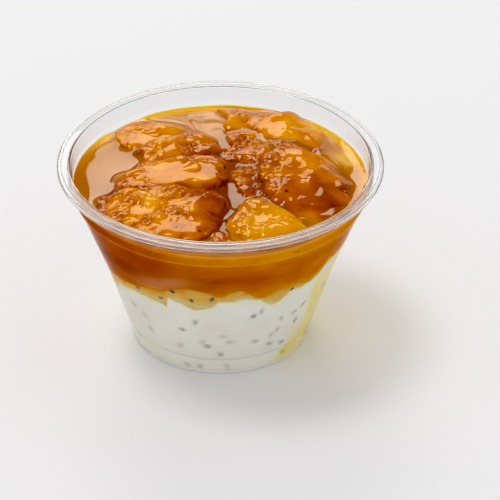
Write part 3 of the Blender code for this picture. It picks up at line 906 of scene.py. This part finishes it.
# seeds that the front shows: (turn, height, how near the surface from 0 to 1)
seenSeeds = (
    (-142.0, 20.4, 0.5), (-134.8, 18.2, 0.2), (-133.2, 12.9, 0.35), (-113.8, 10.2, 0.35),
    (-110.8, 17.7, 0.8), (-103.0, 21.7, 0.9), (-100.2, 13.3, 0.3), (-97.5, 11.7, 0.9),
    (-88.5, 15.9, 0.25), (-84.8, 13.6, 0.45), (-89.8, 8.3, 0.8), (-73.2, 23.9, 0.95), (-69.2, 25.4, 0.7),
    (-70.2, 12.6, 0.65), (-60.3, 10.0, 0.75), (-51.0, 8.6, 1.0), (-60.3, 13.8, 0.4), (-57.0, 15.2, 0.6),
    (-56.2, 19.7, 0.5), (-47.8, 20.2, 0.7), (-44.5, 16.0, 0.8), (-42.0, 21.7, 0.8), (-111.5, 2.3, 0.6),
    (-103.0, 2.4, 0.8), (-85.8, 2.8, 0.35), (-46.8, 3.3, 0.5),
)
# seeds that touch the wall: (turn, height), first those in the swirl
wallSeeds = (
    (-112.2, 34.1), (-119.3, 29.7), (-103.5, 31.5), (-93.8, 32.7), (-132.5, 30.1), (-55.0, 32.1),
    (-103.0, 21.7), (-97.5, 11.7), (-73.2, 23.9), (-51.0, 8.6), (-44.5, 16.0), (-110.8, 17.7),
    (-89.8, 8.3),
)
seedShape = {"length": 2.1, "width": 1.3, "thickness": 0.9, "pointed": 0.28, "proud": 0.22, "tilt": 17.0}


def scattered(seed, count, *spans):
    # more places by chance, for the sides that the photograph hides
    rng = np.random.default_rng(seed)
    return tuple(tuple(rng.uniform(*span) for span in spans) for place in range(count))


def wallEdge(node, steps=64):
    # height of a solid layer's edge at the wall, as a function of the turn
    points = np.array([v.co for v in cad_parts[node].data.vertices], float) / mm
    radius = np.hypot(points[:, 0], points[:, 1])
    points = points[radius > innerRadius(points[:, 2]) - 0.6]
    step = np.round(turnOf(points[:, 0], points[:, 1]) / 360 * steps).astype(int) % steps
    heights = np.array([points[step == t, 2].max() for t in range(steps)])
    heights = 0.5 * heights + 0.25 * (np.roll(heights, 1) + np.roll(heights, -1))
    return lambda turn: np.interp(turn, np.arange(steps) * 360 / steps, heights, period=360)


def measured(edge, stations):
    # the solid's edge, but through the stations where the front shows it
    places, levels = np.array(stations, float).T

    def height(turn):
        turn = (np.asarray(turn, float) + 270) % 360 - 270
        spot = np.clip(np.searchsorted(places, turn) - 1, 0, len(places) - 2)
        share = smoothStep(turn, places[spot], places[spot + 1])
        shown = between(turn, places[0] - 36, places[0], places[-1], places[-1] + 24)
        return edge(turn) + shown * (levels[spot] + (levels[spot + 1] - levels[spot]) * share - edge(turn))
    return height


def ragged(edge, depth, size, seed):
    # an edge with finer irregularity, worked out from the point on the wall
    def height(turn):
        turn = np.asarray(turn, float)
        points = ring(34.0, 0.0, np.radians(turn))
        fine = 0.5 * wobble(points, size / 2.2, seed + 1) + 0.35 * wobble(points, size / 5, seed + 2)
        return edge(turn) + depth * (wobble(points, size, seed) + fine)
    return height


def puddingFinish():
    # milk pudding: dense and white, light sinks in a little and comes back soft
    made, add = newMaterial("milk chia pudding")
    stain, dark = (add("Attribute", {"attribute_name": name}, "Fac") for name in ("stain", "seedShade"))
    where = add("TexCoord", (), "Object")
    cloud = add("TexNoise", {"Scale": 1 / (7 * mm), "Detail": 3.0, "Vector": where})
    milk = add("ValToRGB", {"stops": ((0.3, "#f3efe1"), (0.7, "#faf7eb")), "Fac": cloud})
    height = add("SeparateXYZ", {0: where}, "Z")
    low = add("MapRange", {"From Min": 5.8 * mm, "From Max": 5.2 * mm, "Value": height})
    # painted light in the foot band, yellow where mango has run into it, grey over seeds and in painted shade
    for share, colour in ((low, "#fbf9e8"), (stain, "#fae797"), (dark, "#5d6062")):
        milk = add("Mix", {"data_type": "RGBA", 0: share, 6: milk, 7: linear(colour)}, 2)
    return coated(made, add, {
        "Base Color": milk, "Roughness": 0.4, "Specular IOR Level": 0.0,
        "Subsurface Weight": 0.4, "Subsurface Radius": (1.0, 0.9, 0.7), "Subsurface Scale": 1.0 * mm})


def buildPudding(edge, seeds):
    print("pudding")
    top = layers["puddingTop"]
    waves = edge(np.degrees(compass))
    rows = layerFace(waves, top)
    # only the top waves, and the wall's bends stay level
    for level in (*np.linspace(top, 6.2, 72), 5.8, 5.4, 4.6, 3.8, 3.0, 2.2, 1.5):
        z = level + (waves - top) * smoothStep(level, top - 18, top)
        rows.append(ring(foodRadius(z), z))
    rows += rings(((25.9, 0.8), (25.3, 0.45), (23.0, 0.45), (22.0, 1.45), (0, 1.75)), layers["steps"])
    piece = loftRings("milk_pudding", rows, puddingFinish())
    points = pointsOf(piece)
    x, y, z = points.T
    turn = turnOf(x, y)
    rng = np.random.default_rng(5)
    dark = np.zeros(len(points))
    for at, height, near in seeds:
        alongWall = np.radians((turn - at + 180) % 360 - 180) * np.hypot(x, y)
        upWall = z - height
        tilt = rng.uniform(0, math.pi)
        u = alongWall * math.cos(tilt) + upWall * math.sin(tilt)
        v = -alongWall * math.sin(tilt) + upWall * math.cos(tilt)
        spread = 0.5 * (1.3 - 0.3 * near)       # the deeper, the more blurred
        spot = (u / (seedShape["length"] * spread)) ** 2 + (v / (seedShape["width"] * spread)) ** 2
        dark = np.maximum(dark, (0.12 + 0.5 * near) * np.exp(-spot))
    dark += 0.2 * np.exp(-((z - 6.0) / 0.3) ** 2)                     # painted shade: a thin line along the wall's step
    dark += 0.09 * between(turn, -180, -160, -138, -112)              # it is in shade at the far left
    giveShade(piece, dark, "seedShade")
    start = np.interp(z, *zip(*filmEdge)) + 8 * wobble(points * (1, 1, 0.5), 5.0, 8)
    stain = between(turn, start - 1, start + 12, 20, 60)
    stain *= 0.95 + 0.4 * wobble(points * (1, 1, 0.5), 5.0, 10)
    fade = np.exp(-np.clip(edge(turn) - z, 0, None) / (0.9 + 0.6 * wobble(points, 3.0, 9)))
    giveShade(piece, np.maximum(stain, fade), "stain")
    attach(piece, "root")
    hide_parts("chia_pudding")


def seedFinish():
    # soaked chia: dark grey-brown, a little glossy under its jelly coat
    made, add = newMaterial("soaked chia seed")
    where = add("TexCoord", (), "Object")
    marble = add("TexNoise", {"Scale": 1 / (0.5 * mm), "Detail": 2.0, "Vector": where})
    bare = add("ValToRGB", {"stops": ((0.35, "#3c3a36"), (0.65, "#6e6a60")), "Fac": marble})
    # a film of milk greys them in the pudding
    height = add("SeparateXYZ", {0: where}, "Z")
    veil = add("MapRange", {"From Min": 34.0 * mm, "From Max": 22.0 * mm, "Value": height})
    colour = add("Mix", {"data_type": "RGBA", 0: veil, 6: bare, 7: linear("#c4c5ba")}, 2)
    return coated(made, add, {"Base Color": colour, "Roughness": 0.4, "Specular IOR Level": 0.1})


def seedTree(seed):
    # stands a seed on every point, turned as the point says, its size by chance
    tree, add, given = newTree("scattered seeds", ("Seed Size",))
    facing = add("GeometryNodeInputNamedAttribute", {"data_type": "FLOAT_VECTOR", "Name": "facing"})
    sizes = add("FunctionNodeRandomValue", {"data_type": "FLOAT", 2: 0.85, 3: 1.1, "Seed": 3}, 1)
    placed = add("GeometryNodeInstanceOnPoints", {
        "Points": given["Geometry"],
        "Instance": add("GeometryNodeObjectInfo", {"Object": seed}, "Geometry"),
        "Rotation": add("FunctionNodeEulerToRotation", {0: facing}),
        "Scale": add("Math MULTIPLY", (sizes, given["Seed Size"]))})
    closeTree(add, add("GeometryNodeRealizeInstances", {0: placed}), given["Finish"])
    return tree


def buildSeeds(seeds):
    print("seeds")
    rng = np.random.default_rng(17)
    kernel = bmesh.new()
    radius = 0.5 * mm
    bmesh.ops.create_icosphere(kernel, subdivisions=3, radius=radius)
    for vert in kernel.verts:
        x, y, z = vert.co
        narrow = 1 - seedShape["pointed"] * y / radius
        vert.co = (x * seedShape["thickness"], y * seedShape["length"], z * seedShape["width"] * narrow)
    mesh = bpy.data.meshes.new("seed")
    kernel.to_mesh(mesh)
    kernel.free()
    seed = newPiece("seed", mesh)
    points, facing = [], []
    for turn, height in seeds:
        r = foodRadius(height) - 0.5 * seedShape["thickness"] + seedShape["proud"]
        at = math.radians(turn)
        points.append((r * math.cos(at) * mm, r * math.sin(at) * mm, height * mm))
        facing.append((rng.uniform(0, math.pi), math.radians(seedShape["tilt"]), at))
    mesh = bpy.data.meshes.new("chia_seeds")
    mesh.from_pydata(points, [], [])
    mesh.attributes.new("facing", "FLOAT_VECTOR", "POINT").data.foreach_set("vector", np.ravel(facing))
    piece = baked(newPiece("chia_seeds", mesh), seedTree(seed), {"Seed Size": 1.0, "Finish": seedFinish()})
    bpy.data.objects.remove(seed)
    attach(piece, "root")
    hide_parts("chia_pudding")


def swirlFinish():
    # mango pulp stirred into milk: streaks of yellow and cream
    made, add = newMaterial("mango pulp in milk")
    share = add("Attribute", {"attribute_name": "shade"}, "Fac")
    where = add("TexCoord", (), "Object")
    squash = add("Mapping", {"Scale": (1, 1, 2.2), "Vector": where})
    stops = ((0.1, "#ebe1c6"), (0.3, "#e3c98a"), (0.5, "#e6b966"), (0.75, "#e4ae58"), (1.0, "#dc9444"))
    streaks = mottled(add, share, squash, 4.5, 3.0, 0.8, 0.8)
    return coated(made, add, {
        "Base Color": add("ValToRGB", {"stops": stops, "Fac": streaks}),
        "Roughness": 0.35, "Specular IOR Level": 0.0,
        "Subsurface Weight": 0.4, "Subsurface Radius": (1.0, 0.6, 0.25), "Subsurface Scale": 1.5 * mm})


def buildSwirl(swirlEdge, puddingEdge):
    print("swirl")
    overlap = 0.3                       # how far it reaches down into the pudding
    top, foot = swirlEdge(np.degrees(compass)), puddingEdge(np.degrees(compass))
    rows = layerFace(top, layers["swirlTop"])
    for share in np.linspace(0, 1, 14):
        z = top + (foot - overlap - top) * share
        rows.append(ring(foodRadius(z), z))
    rows += layerFace(foot, layers["puddingTop"], overlap)[::-1]
    piece = loftRings("mango_milk_swirl", rows, swirlFinish())
    x, y, z = pointsOf(piece).T
    turn = turnOf(x, y)
    low, high = puddingEdge(turn), swirlEdge(turn)
    giveShade(piece, 0.2 + 0.8 * np.clip((z - low) / np.maximum(high - low, 0.5), 0, 1) ** 0.8)
    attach(piece, "root")
    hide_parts("mango_swirl")


def main():
    buildStudio()
    buildCup()
    print("mango pieces")
    tree = reliefTree()
    stewed, fresh = wetFlesh("stewed mango", 0.45), wetFlesh("fresh mango", 0.35)
    pieces = {}
    for node, look in pieceLooks.items():
        isFresh = node == "mango_piece_front"
        pieces[node] = dressPiece(node, {**plainLook, **look}, tree, fresh if isFresh else stewed)
        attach(pieces[node], "root")
        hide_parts(node)
    tops = heightsFrom(pieces.values())
    rise = syrupRise(tops)
    fruitShade = shadePieces(pieces, tops)
    swirlEdge = ragged(measured(wallEdge("mango_swirl"), amberFoot), 0.45, 4.0, 21)
    puddingEdge = ragged(measured(wallEdge("chia_pudding"), whiteTop), 0.45, 3.6, 27)
    buildSyrup(tops, rise, swirlEdge, fruitShade)
    buildSwirl(swirlEdge, puddingEdge)
    buildPudding(puddingEdge, seenSeeds + scattered(11, 70, (-30, 210), (2, 27), (0.2, 1.0)))
    buildSeeds(wallSeeds + scattered(23, 24, (-25, 205), (3, 33)))


main()
